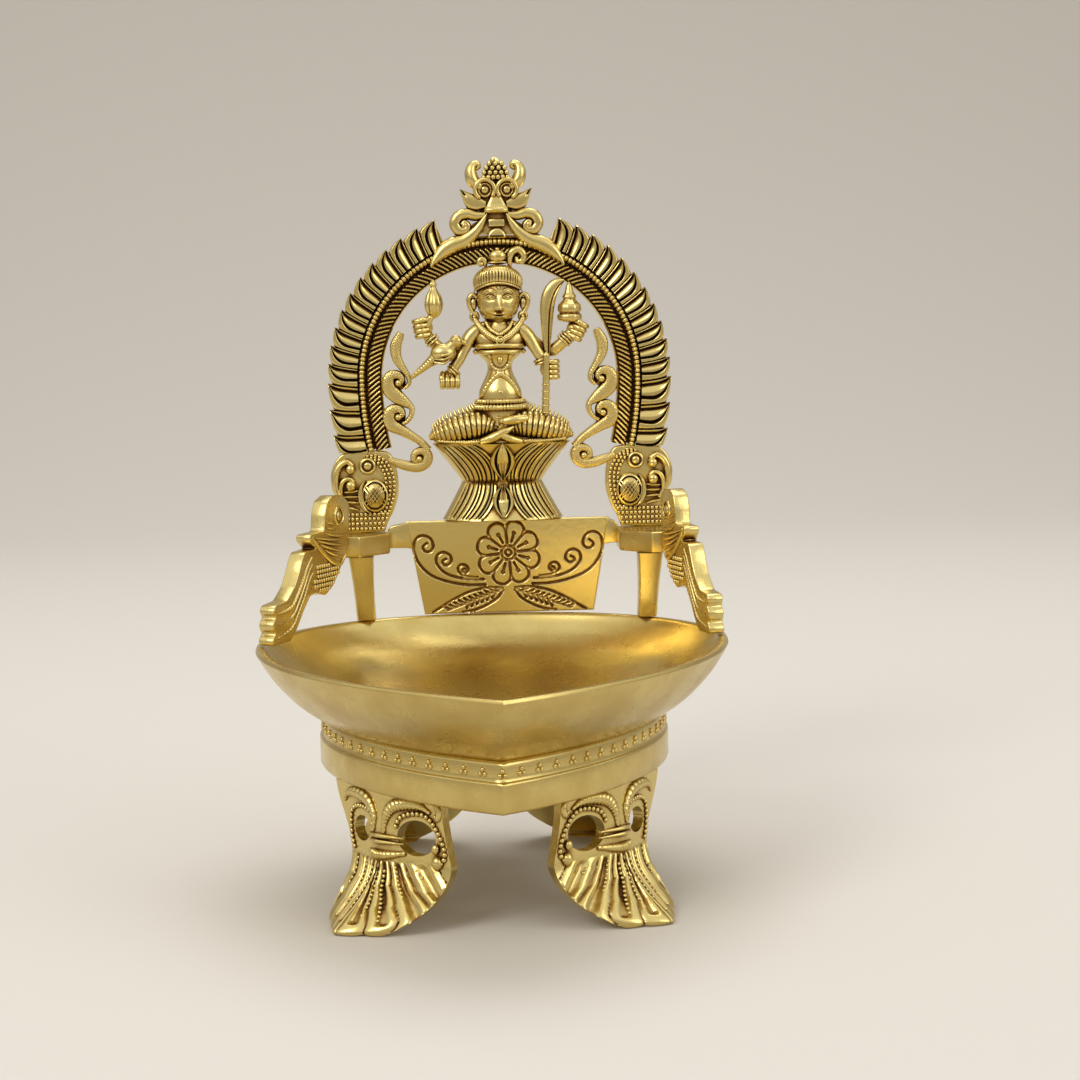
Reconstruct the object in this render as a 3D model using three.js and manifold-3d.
// A kamakshi lamp: a brass oil lamp with a leaf-shaped bowl on a plinth and four pierced bird feet.
// Behind the bowl a flower panel, two posts and two end blocks carry a leaf-edged arch (prabhavali),
// in which a four-armed goddess sits on a lotus. Two bird-shaped side arms run from the end blocks
// down to the rim. Millimetres, +Z up, front towards -Y; left and right are as seen from the front.
// Everything is cast and brazed, so nothing moves.
import * as THREE from "three";
import { mergeVertices } from "three/addons/utils/BufferGeometryUtils.js";
import Module from "manifold-3d";

const wasm = await Module();
wasm.setup();

// Seams: brazed pieces stand this far apart, and cutting tools overrun by the other value.
const seam = 0.3;
const overrun = 2;
const weld = 1e-3;

// Feet: wide-angled corner feet that swell out to a toe
const footHeight = 46;
const footWall = 4;
const footFlare = 15;
const footToe = 7;
const footFrontPanel = 26;
const footSidePanel = 33;
const footHoleTall = 12.4;
const footHoleWide = 16;
const footHoleReach = 15.6;
const footHoleHeight = 32;
const footSideHoleShare = 0.72;

// Plinth: a leaf-shaped drum with a stepped band on it
const plinthHalfWidth = 65.5;
const plinthFront = 105.5;
const plinthBack = 53.5;
const plinthDrum = 11;
const plinthBand = 6;
const plinthStep = 0.9;
const plinthRecess = 9;
const plinthRecessInset = 21;

// Bowl
const bowlHalfWidth = 88.4;
const bowlFront = 135;
const bowlBack = 71.6;
const bowlHeight = 26.7;
const bowlWall = 3;
const bowlNeckInset = 2.4;
const rimEdge = 0.8;

// Support at the back: it stands a little to one side of the bowl's middle, as brazed
const supportOffset = 7.2;
const blockOuter = bowlHalfWidth * 0.751;
const blockReach = 20.4;
const blockInner = blockOuter - blockReach;
const panelThickness = 3.4;
const panelClearance = 5;
const panelTaper = 6.5;
const panelShift = 1.8;
const panelHalfTop = blockInner - panelClearance;
const panelHalfBottom = panelHalfTop - panelTaper;
const panelHeight = 38;
const earTop = 2;
const earHeight = 8.5;
const blockFace = 8.4;
const blockHeight = 8.2;
const blockRise = 26;
const blockFrontMargin = 1.2;
const blockCutCorner = 2.2;
const postTop = 10;
const postBottom = 7.6;
const postCornerShare = 0.2;
const postInset = 8.9;
const postLean = 1.5;
const postCentre = blockOuter - postInset;
const postToe = postCentre - postLean;

// Arch: an upright oval, taller below its widest line than above it
const archThickness = 6;
const archInset = 10.8;
const archHalfWidth = blockOuter - archInset;
const archCentre = 96;
const archRise = 54;
const archDrop = 87;
const archBandInner = 8.3;
const archBandOuter = 3.2;
const leafReach = 13.6;
const leavesPerSide = 14;
const crownHalfAngle = 21 * (Math.PI / 180);
const ropeRadius = 1.7;
const ropeStand = 0.7;
const ropeEndShare = 0.985;

// Bird roundels that carry the arch
const roundelHeight = 32;
const roundelThickness = 7;
const roundelHalf = 14.2;
const roundelEye = 3.1;
const roundelBoss = 6.2;

// Crest
const crestHeight = 30;
const crestHalf = 27;
const crestThickness = 7;
const crestEye = 3.6;
const crestCurl = 4.6;
const crestLimb = 3.4;

// Figure
const finialLap = 4.2;
const figureHalf = archHalfWidth * 0.507;
const figureForward = 1;
const finialRadius = 4;
const finialThickness = 2.4;

// Lotus seat
const lotusHeight = 30.5;
const lotusOverhang = 0.4;
const lotusHalfTop = figureHalf + lotusOverhang;
const lotusHalfWaist = lotusHalfTop * 0.577;
const lotusHalfBottom = lotusHalfTop * 0.857;
const lotusDepth = 17;
const lotusPetalDepth = 1.1;
const lotusPetals = 8;

// Vine scrolls
const vineWidth = 2.1;
const vineDepth = 2.3;
const vineEye = 4.6;

// Side arms
const armThickness = 6.4;
const armHeight = 52;
const armRimPoint = 6;
const armBlockInset = 2.5;
const armEye = 3.2;
const wingStand = 1.2;

// Heights worked out from the stack of pieces
const plinthHeight = plinthDrum + plinthBand;
const bowlSeat = footHeight + seam + plinthHeight + seam;
const rimPlane = bowlSeat + bowlHeight;
const panelTop = rimPlane + seam + panelHeight;
const blockBottom = rimPlane + blockRise;
const blockTop = blockBottom + blockHeight;
const roundelTop = blockTop + seam + roundelHeight;
const lotusBottom = panelTop + seam;
const lotusTop = lotusBottom + lotusHeight;
const seatPlane = lotusTop + seam;
const archMiddle = rimPlane + archCentre;
const archInnerTop = archMiddle + archRise - archBandInner;
const figureHeight = archInnerTop + finialLap - seatPlane;
const panelPlane = bowlBack - bowlWall / 2;

// The bowl's leaf outline as shares of its half width, front and back: a pointed front, a full back.
const frontHandleShare = 0.58;
const frontSlopeShare = 0.639;
const sideHandleShare = 0.63;
const cornerHandleShare = 0.15;
const backHandleShare = 0.852;
const frontSteps = 12;
const backSteps = 10;

// How many sides the round pieces have
const eggAround = 12;
const eggOver = 8;
const discSides = 14;
const limbSides = 8;
const figureSides = 10;

const brass = (color, roughness) => new THREE.MeshStandardMaterial({ color, roughness, metalness: 1 });
const satinBrass = brass(0xc9a24a, 0.3);
const carvedBrass = brass(0xb78a3a, 0.42);

const v3 = (x, y, z) => new THREE.Vector3(x, y, z);

// A leaf outline of its own half width, front and back reach, from the front point anticlockwise.
function leaf(half, front, back) {
  const fore = new THREE.CubicBezierCurve(
    new THREE.Vector2(0, -front),
    new THREE.Vector2(frontHandleShare * half, frontSlopeShare * frontHandleShare * half - front),
    new THREE.Vector2(half, -sideHandleShare * half),
    new THREE.Vector2(half, 0),
  );
  const aft = new THREE.CubicBezierCurve(
    new THREE.Vector2(half, 0),
    new THREE.Vector2(half, cornerHandleShare * half),
    new THREE.Vector2(backHandleShare * half, back),
    new THREE.Vector2(0, back),
  );
  const right = [...fore.getPoints(frontSteps), ...aft.getPoints(backSteps).slice(1)];
  const left = right.slice(1, -1).reverse().map((p) => new THREE.Vector2(-p.x, p.y));
  return [...right, ...left];
}

// The back edge of a leaf outline at one x, for what stands on it.
function backEdge(half, back, x) {
  const aft = new THREE.CubicBezierCurve(
    new THREE.Vector2(half, 0),
    new THREE.Vector2(half, cornerHandleShare * half),
    new THREE.Vector2(backHandleShare * half, back),
    new THREE.Vector2(0, back),
  );
  let low = 0;
  let high = 1;
  while (high - low > weld) {
    const middle = (low + high) / 2;
    if (aft.getPoint(middle).x > Math.abs(x)) low = middle;
    else high = middle;
  }
  return aft.getPoint(low).y;
}

// Turns a geometry's faces round when its signed volume is negative.
function outward(geometry) {
  const p = geometry.getAttribute("position");
  const index = geometry.index.array;
  const at = (i) => v3(p.getX(i), p.getY(i), p.getZ(i));
  let volume = 0;
  for (let i = 0; i < index.length; i += 3) {
    volume += at(index[i]).dot(at(index[i + 1]).cross(at(index[i + 2])));
  }
  if (volume < 0) {
    for (let i = 0; i < index.length; i += 3) {
      [index[i + 1], index[i + 2]] = [index[i + 2], index[i + 1]];
    }
  }
  return geometry;
}

// A closed skin through rings of equally many points, capped by a fan round the middle of each end ring.
function loft(rings) {
  const count = rings[0].length;
  const points = rings.flat();
  const index = [];
  for (let r = 0; r + 1 < rings.length; r++) {
    for (let i = 0; i < count; i++) {
      const a = r * count + i;
      const b = r * count + ((i + 1) % count);
      index.push(a, b, b + count, a, b + count, a + count);
    }
  }
  [0, rings.length - 1].forEach((r, end) => {
    const middle = rings[r].reduce((sum, p) => sum.add(p), v3(0, 0, 0)).divideScalar(count);
    points.push(middle);
    for (let i = 0; i < count; i++) {
      const a = r * count + i;
      const b = r * count + ((i + 1) % count);
      if (end) index.push(points.length - 1, a, b);
      else index.push(points.length - 1, b, a);
    }
  });
  const geometry = new THREE.BufferGeometry().setFromPoints(points);
  geometry.setIndex(index);
  return outward(geometry);
}

// A closed skin between an outer and an inner line of equally many points at each level, as for a bent wall.
function wallLoft(levels) {
  const half = levels[0].length / 2;
  const count = 2 * half;
  const points = levels.flat();
  const index = [];
  for (let r = 0; r + 1 < levels.length; r++) {
    for (let i = 0; i < count; i++) {
      const a = r * count + i;
      const b = r * count + ((i + 1) % count);
      index.push(a, b, b + count, a, b + count, a + count);
    }
  }
  [0, levels.length - 1].forEach((r, end) => {
    for (let i = 0; i + 1 < half; i++) {
      const a = r * count + i;
      const b = a + 1;
      const c = r * count + (count - 2 - i);
      const d = c + 1;
      if (end) index.push(a, b, c, a, c, d);
      else index.push(a, c, b, a, d, c);
    }
  });
  const geometry = new THREE.BufferGeometry().setFromPoints(points);
  geometry.setIndex(index);
  return outward(geometry);
}

// A geometry as a solid that can be joined and cut.
function solid(geometry) {
  const bare = geometry.clone();
  bare.deleteAttribute("normal");
  bare.deleteAttribute("uv");
  const merged = mergeVertices(bare, weld);
  return new wasm.Manifold(
    new wasm.Mesh({
      numProp: 3,
      vertProperties: new Float32Array(merged.getAttribute("position").array),
      triVerts: new Uint32Array(merged.index.array),
    }),
  );
}

const joined = (geometries) => geometries.map(solid).reduce((sum, s) => sum.add(s));

function geometryOf(made) {
  const mesh = made.getMesh();
  const geometry = new THREE.BufferGeometry();
  geometry.setAttribute("position", new THREE.BufferAttribute(mesh.vertProperties, mesh.numProp));
  geometry.setIndex(new THREE.BufferAttribute(mesh.triVerts, 1));
  geometry.computeVertexNormals();
  return geometry;
}

// An outline drawn in x and z, standing upright and centred on y.
function plate(outline, thickness, y) {
  const shape = new THREE.Shape(outline.map(([x, z]) => new THREE.Vector2(x, z)));
  const geometry = new THREE.ExtrudeGeometry(shape, { depth: thickness, bevelEnabled: false });
  return geometry.rotateX(Math.PI / 2).translate(0, y + thickness / 2, 0);
}

// An outline drawn in x and y, standing from one height to another.
function slab(outline, bottom, height) {
  const shape = new THREE.Shape(outline.map(([x, y]) => new THREE.Vector2(x, y)));
  return new THREE.ExtrudeGeometry(shape, { depth: height, bevelEnabled: false }).translate(0, 0, bottom);
}

function egg(centre, radii) {
  return new THREE.SphereGeometry(1, eggAround, eggOver)
    .scale(...radii)
    .rotateX(Math.PI / 2)
    .translate(...centre);
}

// A disc that lies in the upright plane of the arch.
function disc(x, y, z, radius, thickness) {
  return new THREE.CylinderGeometry(radius, radius, thickness, discSides).translate(x, y, z);
}

// A limb or stem through stations [x, y, z, half width in the upright plane, half depth].
function limb(stations, sides = limbSides) {
  const rings = stations.map(([x, y, z, wide, deep], i) => {
    const before = stations[Math.max(i - 1, 0)];
    const after = stations[Math.min(i + 1, stations.length - 1)];
    const along = new THREE.Vector2(after[0] - before[0], after[2] - before[2]).normalize();
    return Array.from({ length: sides }, (_, k) => {
      const turn = (2 * Math.PI * (k + 0.5)) / sides;
      const out = wide * Math.cos(turn);
      return v3(x - along.y * out, y + deep * Math.sin(turn), z + along.x * out);
    });
  });
  return loft(rings);
}

const mirrored = (list) => list.map(([x, ...rest]) => [-x, ...rest]);
const scaled = (table, across, up) => table.map(([x, z, ...rest]) => [x * across, z * up, ...rest]);

const lamp = new THREE.Group();
const support = new THREE.Group();
support.position.x = supportOffset;
lamp.add(support);

function add(parent, name, geometry, material) {
  const mesh = new THREE.Mesh(geometry, material);
  mesh.name = name;
  parent.add(mesh);
  return mesh;
}

const ring = (outline, z) => outline.map((p) => v3(p.x, p.y, z));

// Plinth: a drum, a small step, and a band that leans in, over a shallow recess
function plinth() {
  const level = (inset, z) =>
    ring(leaf(plinthHalfWidth - inset, plinthFront - inset, plinthBack - inset), z);
  const body = loft([
    level(0, 0),
    level(0, plinthDrum),
    level(plinthStep, plinthDrum),
    level(2 * plinthStep, plinthHeight),
  ]);
  const recess = loft([
    level(plinthRecessInset, -overrun),
    level(plinthRecessInset, plinthRecess - overrun),
    level(plinthRecessInset + overrun, plinthRecess),
  ]);
  const made = geometryOf(solid(body).subtract(solid(recess)));
  return made.translate(0, 0, footHeight + seam);
}

// Bowl: outer flare shares of height and of the way from neck to rim, then the dish inside.
const bowlOuterShares = [
  [0, 0],
  [0.12, 0.22],
  [0.28, 0.45],
  [0.45, 0.63],
  [0.63, 0.79],
  [0.82, 0.92],
  [0.965, 1],
];
const bowlInnerShares = [
  [1, 1],
  [0.86, 0.965],
  [0.68, 0.905],
  [0.5, 0.82],
  [0.35, 0.7],
  [0.25, 0.52],
  [0.2, 0.28],
];
function bowl() {
  const neckHalf = plinthHalfWidth - bowlNeckInset;
  const neckFront = plinthFront - 2 * bowlNeckInset;
  const neckBack = plinthBack - bowlNeckInset;
  const between = (low, high, share) => low + (high - low) * share;
  const outer = bowlOuterShares.map(([up, out]) =>
    ring(
      leaf(
        between(neckHalf, bowlHalfWidth, out),
        between(neckFront, bowlFront, out),
        between(neckBack, bowlBack, out),
      ),
      up * bowlHeight,
    ),
  );
  const lip = ring(leaf(bowlHalfWidth - rimEdge, bowlFront - rimEdge, bowlBack - rimEdge), bowlHeight);
  const inner = bowlInnerShares.map(([up, out]) =>
    ring(
      leaf(
        out * (bowlHalfWidth - bowlWall),
        out * (bowlFront - bowlWall),
        out * (bowlBack - bowlWall),
      ),
      up * bowlHeight,
    ),
  );
  return loft([...outer, lip, ...inner]).translate(0, 0, bowlSeat);
}

// Feet: level shares of height, flare, toe, front panel and side panel
const footShares = [
  [0, 0.93, 0.9, 0.36, 0.26],
  [0.03, 1, 1, 0.48, 0.34],
  [0.11, 0.8, 0.78, 0.74, 0.44],
  [0.22, 0.5, 0.46, 0.96, 0.5],
  [0.35, 0.25, 0.2, 1.1, 0.52],
  [0.48, 0.12, 0.08, 1.16, 0.55],
  [0.62, 0.08, 0.04, 1.1, 0.62],
  [0.74, 0.06, 0, 1.05, 0.74],
  [0.88, 0.03, 0, 1, 0.9],
  [1, 0, 0, 1, 1],
];
const footPanelSteps = 4;
const footHoleSides = 18;
function foot(corner, frontWay, sideWay) {
  const along = [new THREE.Vector2(...frontWay).normalize(), new THREE.Vector2(...sideWay).normalize()];
  const inward = along[0].clone().add(along[1]).normalize();
  const normals = along.map((way) => {
    const n = new THREE.Vector2(-way.y, way.x);
    return n.dot(inward) > 0 ? n.negate() : n;
  });
  const spread = 1 / normals[0].dot(inward.clone().negate());
  const line = (out, toe, lengths) => {
    const tip = inward.clone().multiplyScalar(-out * spread - toe).add(corner);
    const ends = along.map((way, k) =>
      way.clone().multiplyScalar(lengths[k]).addScaledVector(normals[k], out).add(corner),
    );
    const points = [];
    for (let i = 0; i < footPanelSteps; i++) points.push(ends[0].clone().lerp(tip, i / footPanelSteps));
    for (let i = 0; i <= footPanelSteps; i++) points.push(tip.clone().lerp(ends[1], i / footPanelSteps));
    return points;
  };
  const levels = footShares.map(([up, flare, toe, front, side]) => {
    const lengths = [front * footFrontPanel, side * footSidePanel];
    const outer = line(flare * footFlare, toe * footToe, lengths);
    const inner = line(flare * footFlare - footWall, toe * footToe, lengths).reverse();
    return [...outer, ...inner].map((p) => v3(p.x, p.y, up * footHeight));
  });
  let made = solid(wallLoft(levels));
  along.forEach((way, k) => {
    const share = k ? footSideHoleShare : 1;
    const drill = new THREE.CylinderGeometry(1, 1, 3 * footWall + footFlare, footHoleSides);
    drill.scale((share * footHoleWide) / 2, 1, (share * footHoleTall) / 2);
    drill.rotateZ(Math.atan2(normals[k].y, normals[k].x) - Math.PI / 2);
    drill.translate(
      corner.x + way.x * share * footHoleReach,
      corner.y + way.y * share * footHoleReach,
      footHoleHeight,
    );
    made = made.subtract(solid(drill));
  });
  return geometryOf(made);
}

// Support: panel with its ears, end blocks and posts
function flowerPanel() {
  const ear = blockInner - seam;
  const top = panelTop - earTop;
  const half = (side) => [
    [panelShift + side * panelHalfBottom, rimPlane + seam],
    [panelShift + side * (panelHalfTop - panelTaper / 4), top - earHeight],
    [side * ear, top - earHeight],
    [side * ear, top],
    [panelShift + side * panelHalfTop, panelTop],
  ];
  return plate([...half(1), ...half(-1).reverse()], panelThickness, panelPlane);
}

const rimMiddle = (x) => backEdge(bowlHalfWidth - bowlWall / 2, bowlBack - bowlWall / 2, x);
const postDepth = (side) => rimMiddle(supportOffset + side * postToe);
const blockFront = (side) => postDepth(side) - postTop / 2 - blockFrontMargin;
const blockBack = panelPlane + panelThickness / 2;

function endBlock(side) {
  const front = blockFront(side);
  const inner = blockOuter - blockFace;
  const chamferEnd = Math.min(front + (inner - blockInner), blockBack - panelThickness);
  const outline = [
    [blockInner, blockBack],
    [blockInner, chamferEnd],
    [inner, front],
    [blockOuter - blockCutCorner / 2, front],
    [blockOuter, front + blockCutCorner],
    [blockOuter, blockBack - blockCutCorner],
    [blockOuter - blockCutCorner, blockBack],
  ];
  return slab(scaled(outline, side, 1), blockBottom, blockHeight);
}

function post(side) {
  const y = postDepth(side);
  const square = (x, size, z) => {
    const h = size / 2;
    const c = size * postCornerShare;
    return [
      [-h, -h + c],
      [-h + c, -h],
      [h - c, -h],
      [h, -h + c],
      [h, h - c],
      [h - c, h],
      [-h + c, h],
      [-h, h - c],
    ].map(([dx, dy]) => v3(side * x + dx, y + dy, z));
  };
  return loft([
    square(postToe, postBottom, rimPlane + seam),
    square(postCentre, postTop, blockBottom - seam),
  ]);
}

// Arch: a point of its spine at an angle from the top, moved out along the spine's normal.
function archPoint(angle, out) {
  const rise = Math.cos(angle) > 0 ? archRise : archDrop;
  const x = archHalfWidth * Math.sin(angle);
  const z = rise * Math.cos(angle);
  const normal = new THREE.Vector2(x / archHalfWidth ** 2, z / rise ** 2).normalize();
  return [x + normal.x * out, archMiddle + z + normal.y * out];
}
const archBottom = roundelTop + seam;
const archEnd = Math.acos((archBottom - archMiddle) / archDrop);

// A leaf of the arch's edge: shares of its pitch and of its reach, from the lower notch to the upper.
const leafShares = [
  [0.02, 0.84],
  [0.1, 0.92],
  [0.3, 0.97],
  [0.6, 1],
  [0.9, 1.01],
  [1, 0.98],
  [0.98, 0.88],
];
const crownEdgeShares = [1, 0.66, 0.33];
const bandSteps = 20;
function archPlate() {
  const pitch = (archEnd - crownHalfAngle) / leavesPerSide;
  const level = ([x, z]) => [x, Math.max(z, archBottom)];
  const right = [level(archPoint(archEnd, archBandOuter))];
  for (let i = 0; i < leavesPerSide; i++) {
    const start = archEnd - i * pitch;
    for (const [along, out] of leafShares) right.push(level(archPoint(start - along * pitch, out * leafReach)));
  }
  const crown = crownEdgeShares.map((share) => archPoint(share * crownHalfAngle, archBandOuter));
  const outer = [...right, ...crown, archPoint(0, archBandOuter)];
  const inner = [];
  for (let i = 0; i < bandSteps; i++) inner.push(level(archPoint((archEnd * i) / bandSteps, -archBandInner)));
  inner.push([archPoint(archEnd, -archBandInner)[0], archBottom]);
  const outerWhole = [...outer, ...mirrored(outer).reverse().slice(1)];
  const innerWhole = [...mirrored(inner).reverse(), ...inner.slice(1)];
  return plate([...outerWhole, ...innerWhole], archThickness, panelPlane);
}
const ropeSteps = 44;
const ropeSides = 6;
function rope() {
  const stations = [];
  const end = archEnd * ropeEndShare;
  for (let i = 0; i <= ropeSteps; i++) {
    const [x, z] = archPoint(-end + (2 * end * i) / ropeSteps, 0);
    stations.push([x, panelPlane, z, ropeRadius, archThickness / 2 + ropeStand]);
  }
  return limb(stations, ropeSides);
}

// Bird roundels: outline shares of half width and height, then an eye, a boss and two curls
const roundelShares = [
  [-0.52, 0],
  [0.62, 0],
  [0.74, 0.22],
  [0.8, 0.42],
  [1, 0.62],
  [0.95, 0.82],
  [0.72, 1],
  [-0.66, 1],
  [-0.9, 0.8],
  [-0.92, 0.55],
  [-0.74, 0.28],
];
const roundelCurlShares = [
  [0.62, 0.84],
  [0.56, 0.62],
];
function archBird(side) {
  const bottom = blockTop + seam;
  const at = ([x, z]) => [side * (archHalfWidth + x * roundelHalf), bottom + z * roundelHeight];
  const eyeCentre = at([-0.12, 0.86]);
  const bossCentre = at([-0.1, 0.5]);
  const proud = roundelThickness / 2;
  const pieces = [
    plate(roundelShares.map(at), roundelThickness, panelPlane),
    disc(eyeCentre[0], panelPlane - proud / 2, eyeCentre[1], roundelEye, roundelThickness),
    egg([bossCentre[0], panelPlane - proud, bossCentre[1]], [roundelBoss, roundelBoss, roundelBoss / 2]),
  ];
  for (const share of roundelCurlShares) {
    const [x, z] = at(share);
    pieces.push(disc(x, panelPlane - proud / 3, z, roundelEye, roundelThickness));
  }
  return geometryOf(joined(pieces));
}

// Crest: the column and head in shares of half width and height above the arch's top edge
const crestShares = [
  [0.3, 0.1],
  [0.17, 0.13],
  [0.17, 0.25],
  [0.3, 0.3],
  [0.5, 0.38],
  [0.53, 0.6],
  [0.36, 0.6],
  [0.44, 0.72],
  [0.45, 0.9],
  [0.36, 0.95],
  [0.26, 0.84],
  [0.19, 0.74],
  [0.12, 0.93],
  [0, 1],
];
const crestEarShares = [
  [0.14, 0.42, 0.5],
  [0.34, 0.45, 1.1],
  [0.52, 0.6, 0.35],
];
const crestHornShares = [
  [0.28, 0.66, 0.8],
  [0.4, 0.74, 1],
  [0.44, 0.86, 0.8],
  [0.34, 0.93, 0.55],
];
// The swept bands at its foot follow the arch's edge: shares of the crown's angle and of the limb.
const crestBandShares = [
  [0.93, 0.3],
  [0.78, 0.75],
  [0.56, 1],
  [0.36, 0.85],
  [0.18, 0.7],
];
const crestCurlShare = [0.5, 0.27];
const crestEyeShare = [0.155, 0.58];
const crestSnoutShare = [0.19, 0.27, 0.5];
const crestFootSteps = 4;
function crest() {
  const top = archPoint(0, archBandOuter)[1] + seam;
  const depth = crestThickness / 2;
  const at = ([x, z]) => [x * crestHalf, top + z * crestHeight];
  const reach = Math.asin((crestShares[0][0] * crestHalf) / archHalfWidth);
  const foot = [];
  for (let i = 0; i <= crestFootSteps; i++) {
    foot.push(archPoint((reach * i) / crestFootSteps, archBandOuter + seam));
  }
  const right = [...foot, ...crestShares.map(at)];
  const outline = [...right, ...mirrored(right.slice(1, -1)).reverse()];
  const pieces = [plate(outline, crestThickness, panelPlane)];
  const [noseHalf, noseLow, noseHigh] = crestSnoutShare;
  const snout = [
    [0, panelPlane - depth, top + noseHigh * crestHeight, noseHalf * crestHalf / 2, depth / 2],
    [0, panelPlane - depth, top + noseLow * crestHeight, noseHalf * crestHalf, depth],
  ];
  pieces.push(limb(snout));
  for (const side of [1, -1]) {
    const stem = (shares) =>
      shares.map(([x, z, r]) => [
        side * x * crestHalf,
        panelPlane,
        top + z * crestHeight,
        r * crestLimb,
        depth + ropeStand,
      ]);
    const band = crestBandShares.map(([turn, r]) => {
      const [x, z] = archPoint(crownHalfAngle * turn, archBandOuter + seam + r * crestLimb);
      return [side * x, panelPlane, z, r * crestLimb, depth + ropeStand];
    });
    pieces.push(limb(stem(crestEarShares)), limb(stem(crestHornShares)), limb(band));
    const [ex, ez] = at(crestEyeShare);
    pieces.push(egg([side * ex, panelPlane - depth, ez], [crestEye, crestEye, crestEye / 2]));
    const [cx, cz] = at(crestCurlShare);
    pieces.push(disc(side * cx, panelPlane, cz, crestCurl, crestThickness));
  }
  return geometryOf(joined(pieces));
}

// Lotus seat: shares of height, of the way from waist to foot or top, and a flat back
const lotusShares = [
  [0, 0.9],
  [0.07, 1],
  [0.3, 0.55],
  [0.5, 0.04],
  [0.56, 0],
  [0.64, 0.14],
  [0.8, 0.5],
  [0.93, 0.86],
  [1, 1],
];
const lotusWaistAt = 4;
const lotusSteps = 32;
function lotus() {
  const back = panelPlane + archThickness / 2;
  const rings = lotusShares.map(([up, out], level) => {
    const end = level < lotusWaistAt ? lotusHalfBottom : lotusHalfTop;
    const half = lotusHalfWaist + (end - lotusHalfWaist) * out;
    const deep = (lotusDepth * half) / lotusHalfTop;
    return Array.from({ length: lotusSteps + 1 }, (_, k) => {
      const turn = (Math.PI * k) / lotusSteps;
      const petal = lotusPetalDepth * Math.abs(Math.sin(lotusPetals * turn));
      const x = (half - lotusPetalDepth + petal) * Math.cos(turn);
      return v3(x, back - (deep - lotusPetalDepth + petal) * Math.sin(turn), lotusBottom + up * lotusHeight);
    });
  });
  return loft(rings);
}

// Vine scrolls between the arch, the lotus and the roundel, in shares of the arch's inner half width
// and of the way from the arch's foot to its widest line
const vineUpperShares = [
  [0.83, 1.6, 0.35],
  [0.885, 1.42, 0.95],
  [0.91, 1.22, 0.9],
  [0.85, 1.08, 0.9],
];
const vineMiddleShares = [
  [0.9, 1, 0.8],
  [0.79, 0.92, 0.95],
  [0.75, 0.78, 0.9],
  [0.86, 0.66, 0.8],
];
const vineLowerShares = [
  [0.88, 0.55, 0.9],
  [0.8, 0.42, 0.9],
  [0.72, 0.22, 0.8],
  [0.655, 0.06, 0.7],
];
const vineTailShares = [
  [0.655, 0.12, 0.7],
  [0.66, -0.02, 0.8],
  [0.7, -0.12, 0.9],
  [0.78, -0.22, 0.8],
  [0.86, -0.14, 0.65],
  [0.9, -0.08, 0.6],
];
const vineEyeShares = [1.08, 0.6];
const vineTailEyeShare = [0.74, -0.08, 0.8];
function vine(side) {
  const inner = archHalfWidth - archBandInner;
  const rise = archMiddle - archBottom;
  const place = ([x, z, r]) => [side * x * inner, panelPlane, archBottom + z * rise, r * vineWidth, vineDepth];
  const stems = [vineUpperShares, vineMiddleShares, vineLowerShares, vineTailShares];
  const pieces = stems.map((shares) => limb(shares.map(place)));
  for (const up of vineEyeShares) {
    const z = archBottom + up * rise;
    const span = z > archMiddle ? archRise : archDrop;
    const edge = inner * Math.sqrt(1 - ((z - archMiddle) / (span - archBandInner)) ** 2);
    pieces.push(disc(side * (edge - seam - vineEye), panelPlane, z, vineEye, 2 * vineDepth));
  }
  const [x, y, z] = place(vineTailEyeShare);
  pieces.push(disc(x, y, z, vineTailEyeShare[2] * vineEye, 2 * vineDepth));
  return geometryOf(joined(pieces));
}

// Figure: stations in shares of half width, height, and half width again for both radii
const torsoShares = [
  [0, 0.086, 0.319, 0.259],
  [0, 0.191, 0.326, 0.259],
  [0, 0.243, 0.298, 0.248],
  [0, 0.308, 0.206, 0.199],
  [0, 0.387, 0.167, 0.17],
  [0, 0.452, 0.234, 0.209],
  [0, 0.518, 0.383, 0.255],
  [0, 0.57, 0.362, 0.227],
  [0, 0.616, 0.16, 0.16],
  [0, 0.67, 0.135, 0.142],
];
const crownShares = [
  [0, 0.839, 0.305, 0.284],
  [0, 0.858, 0.34, 0.319],
  [0, 0.91, 0.333, 0.312],
  [0, 0.93, 0.277, 0.262],
];
const thighShares = [
  [0.071, 0.112, 0.191, 0.248],
  [0.248, 0.133, 0.234, 0.284],
  [0.461, 0.136, 0.227, 0.284],
  [0.709, 0.118, 0.17, 0.234],
  [0.979, 0.092, 0.057, 0.106],
];
const lowerArmShares = [
  [0.337, 0.557, 0.113, 0.121],
  [0.496, 0.485, 0.11, 0.113],
  [0.603, 0.424, 0.092, 0.099],
  [0.691, 0.387, 0.085, 0.092],
];
const raisedArmShares = [
  [0.496, 0.492, 0.092, 0.099],
  [0.691, 0.468, 0.096, 0.103],
  [0.869, 0.518, 0.096, 0.099],
  [1.028, 0.583, 0.085, 0.092],
];
const budShares = [
  [1.011, 0.648, 0.057, 0.064],
  [0.936, 0.707, 0.121, 0.113],
  [0.901, 0.766, 0.128, 0.121],
  [0.879, 0.81, 0.067, 0.067],
  [0.872, 0.834, 0.028, 0.028],
];
const parrotNeckShares = [
  [0.6, 0.549, 0.08, 0.08],
  [0.8, 0.476, 0.1, 0.1],
];
const parrotTailShares = [
  [0.922, 0.459, 0.078, 0.071],
  [1.082, 0.426, 0.06, 0.057],
  [1.241, 0.392, 0.039, 0.043],
];
const bellShares = [
  [1.053, 0.629, 0.092, 0.092],
  [1.025, 0.681, 0.152, 0.135],
  [1.014, 0.72, 0.121, 0.113],
  [1.035, 0.753, 0.074, 0.074],
  [1.064, 0.78, 0.028, 0.028],
];
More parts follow.
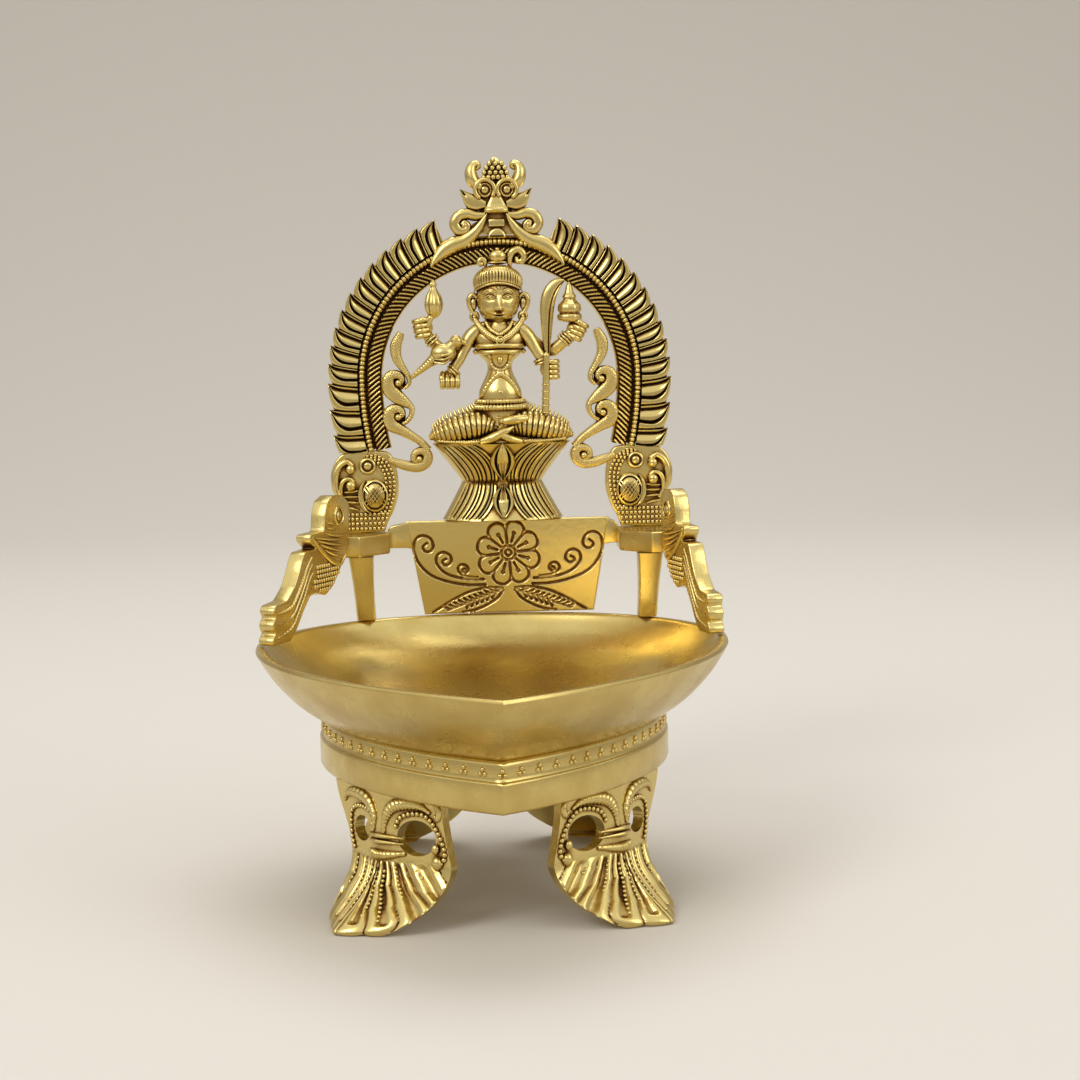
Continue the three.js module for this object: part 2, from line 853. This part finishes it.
const bladeShares = [
  [0.674, 0.413, 0.046, 0.057],
  [0.624, 0.505, 0.082, 0.053],
  [0.61, 0.609, 0.099, 0.05],
  [0.667, 0.7, 0.103, 0.05],
  [0.773, 0.765, 0.078, 0.046],
  [0.872, 0.8, 0.032, 0.039],
];
const caneShares = [
  [0.635, 0.132, 0.046, 0.046],
  [0.652, 0.269, 0.053, 0.053],
  [0.67, 0.426, 0.05, 0.05],
];
// Rounded masses: x, height, half width, half height, half depth, and how far forward. The two heights
// are shares of the figure's height, the others of its half width.
const lapShare = [0, 0.055, 0.567, 0.068, 0.3, 0];
const headShare = [0, 0.753, 0.307, 0.118, 0.284, 0];
const earShare = [0.355, 0.732, 0.09, 0.041, 0.075, 0];
const lowFistShare = [0.715, 0.361, 0.142, 0.058, 0.145, 0];
const highFistShare = [1.06, 0.61, 0.145, 0.056, 0.145, 0];
const parrotHeadShare = [0.6, 0.549, 0.113, 0.042, 0.113, 0.14];
const parrotBodyShare = [0.8, 0.476, 0.191, 0.052, 0.16, 0.12];
const restingFootShare = [0.21, 0.185, 0.15, 0.028, 0.14, 0.16];
const finialShare = 0.97;
function figure() {
  const y = panelPlane - figureForward;
  const run = (shares, side) =>
    limb(shares.map(([x, z, wide, deep]) => [
      side * x * figureHalf,
      y,
      seatPlane + z * figureHeight,
      wide * figureHalf,
      deep * figureHalf,
    ]), figureSides);
  const mass = ([x, z, wide, tall, deep, ahead], side) =>
    egg(
      [side * x * figureHalf, y - ahead * figureHalf, seatPlane + z * figureHeight],
      [wide * figureHalf, tall * figureHeight, deep * figureHalf],
    );
  const pieces = [run(torsoShares, 1), run(crownShares, 1), mass(lapShare, 1), mass(headShare, 1)];
  for (const side of [-1, 1]) {
    pieces.push(run(thighShares, side), run(lowerArmShares, side), run(raisedArmShares, side));
    pieces.push(mass(earShare, side), mass(lowFistShare, side), mass(highFistShare, side));
  }
  pieces.push(run(budShares, -1), run(parrotNeckShares, -1), run(parrotTailShares, -1));
  pieces.push(mass(parrotHeadShare, -1), mass(parrotBodyShare, -1));
  pieces.push(run(bellShares, 1), run(bladeShares, 1), run(caneShares, 1), mass(restingFootShare, 1));
  const finialY = panelPlane - archThickness / 2 - ropeStand - seam - finialThickness / 2;
  pieces.push(disc(0, finialY, seatPlane + finialShare * figureHeight, finialRadius, finialThickness));
  const below = slab(
    [
      [-figureHalf, y - figureHalf],
      [figureHalf, y - figureHalf],
      [figureHalf, y + figureHalf],
      [-figureHalf, y + figureHalf],
    ],
    seatPlane - figureHalf,
    figureHalf,
  );
  return geometryOf(joined(pieces).subtract(solid(below)));
}

// Side arms: a bird whose tail runs down to the rim, in shares of its run and its height
const armShares = [
  [0.73, 0],
  [1, 0],
  [1, 0.12],
  [0.985, 0.3],
  [0.84, 0.29],
  [0.7, 0.5],
  [0.64, 0.6],
  [0.55, 0.69],
  [0.36, 0.74],
  [0.31, 0.95],
  [0.22, 1],
  [0.08, 0.99],
  [0, 0.92],
  [0.015, 0.7],
  [0.05, 0.58],
  [0.13, 0.45],
  [0.25, 0.32],
  [0.46, 0.31],
  [0.65, 0.12],
];
const armEyeShare = [0.12, 0.84];
const wingShares = [
  [0.04, 0.66],
  [0.1, 0.5],
  [0.2, 0.42],
  [0.5, 0.7],
  [0.3, 0.72],
];
function sideArm(side) {
  const halfThick = armThickness / 2;
  const start = new THREE.Vector2(
    supportOffset + side * (blockOuter - armBlockInset),
    blockFront(side) - seam - halfThick / 2,
  );
  const end = new THREE.Vector2(side * (bowlHalfWidth - halfThick - rimEdge), -armRimPoint);
  const run = start.distanceTo(end);
  const at = ([s, z]) => [s * run, rimPlane + seam + z * armHeight];
  const [eyeX, eyeZ] = at(armEyeShare);
  const pieces = [
    plate(armShares.map(at), armThickness, 0),
    plate(wingShares.map(at), armThickness + 2 * wingStand, 0),
    disc(eyeX, 0, eyeZ, armEye, armThickness + 2 * wingStand),
  ];
  const turn = Math.atan2(end.y - start.y, end.x - start.x);
  return geometryOf(joined(pieces)).rotateZ(turn).translate(start.x, start.y, 0);
}

add(lamp, "plinth", plinth(), satinBrass);
add(lamp, "oil_bowl", bowl(), satinBrass);

// Foot corners in shares of the plinth's half width and of its front or back reach, and their panels' ways
const frontCornerShare = [0.641, -0.602];
const frontWays = [
  [0.84, -0.54],
  [-0.5, 0.87],
];
const rearCornerShare = [0.56, 0.76];
const rearWays = [
  [0.93, 0.37],
  [-0.55, -0.84],
];
function addFoot(name, cornerShare, reach, ways, side) {
  const corner = new THREE.Vector2(side * cornerShare[0] * plinthHalfWidth, cornerShare[1] * reach);
  const turned = ways.map(([x, y]) => [-side * x, y]);
  add(lamp, name, foot(corner, ...turned), carvedBrass);
}
for (const side of [-1, 1]) {
  const place = side < 0 ? "left" : "right";
  addFoot("foot_front_" + place, frontCornerShare, plinthFront, frontWays, side);
  addFoot("foot_rear_" + place, rearCornerShare, plinthBack, rearWays, side);
  add(lamp, "side_arm_" + place, sideArm(side), carvedBrass);
  add(support, "end_block_" + place, endBlock(side), satinBrass);
  add(support, "post_" + place, post(side), satinBrass);
  add(support, "arch_bird_" + place, archBird(side), carvedBrass);
  add(support, "vine_scroll_" + place, vine(side), carvedBrass);
}
add(support, "flower_panel", flowerPanel(), satinBrass);
add(support, "arch", geometryOf(joined([archPlate(), rope()])), carvedBrass);
add(support, "crest", crest(), carvedBrass);
add(support, "lotus_seat", lotus(), carvedBrass);
add(support, "goddess_figure", figure(), carvedBrass);

// The whole lamp stands on z = 0, centred on its own box.
const box = new THREE.Box3().setFromObject(lamp);
lamp.position.set(-(box.min.x + box.max.x) / 2, -(box.min.y + box.max.y) / 2, 0);
export default lamp;
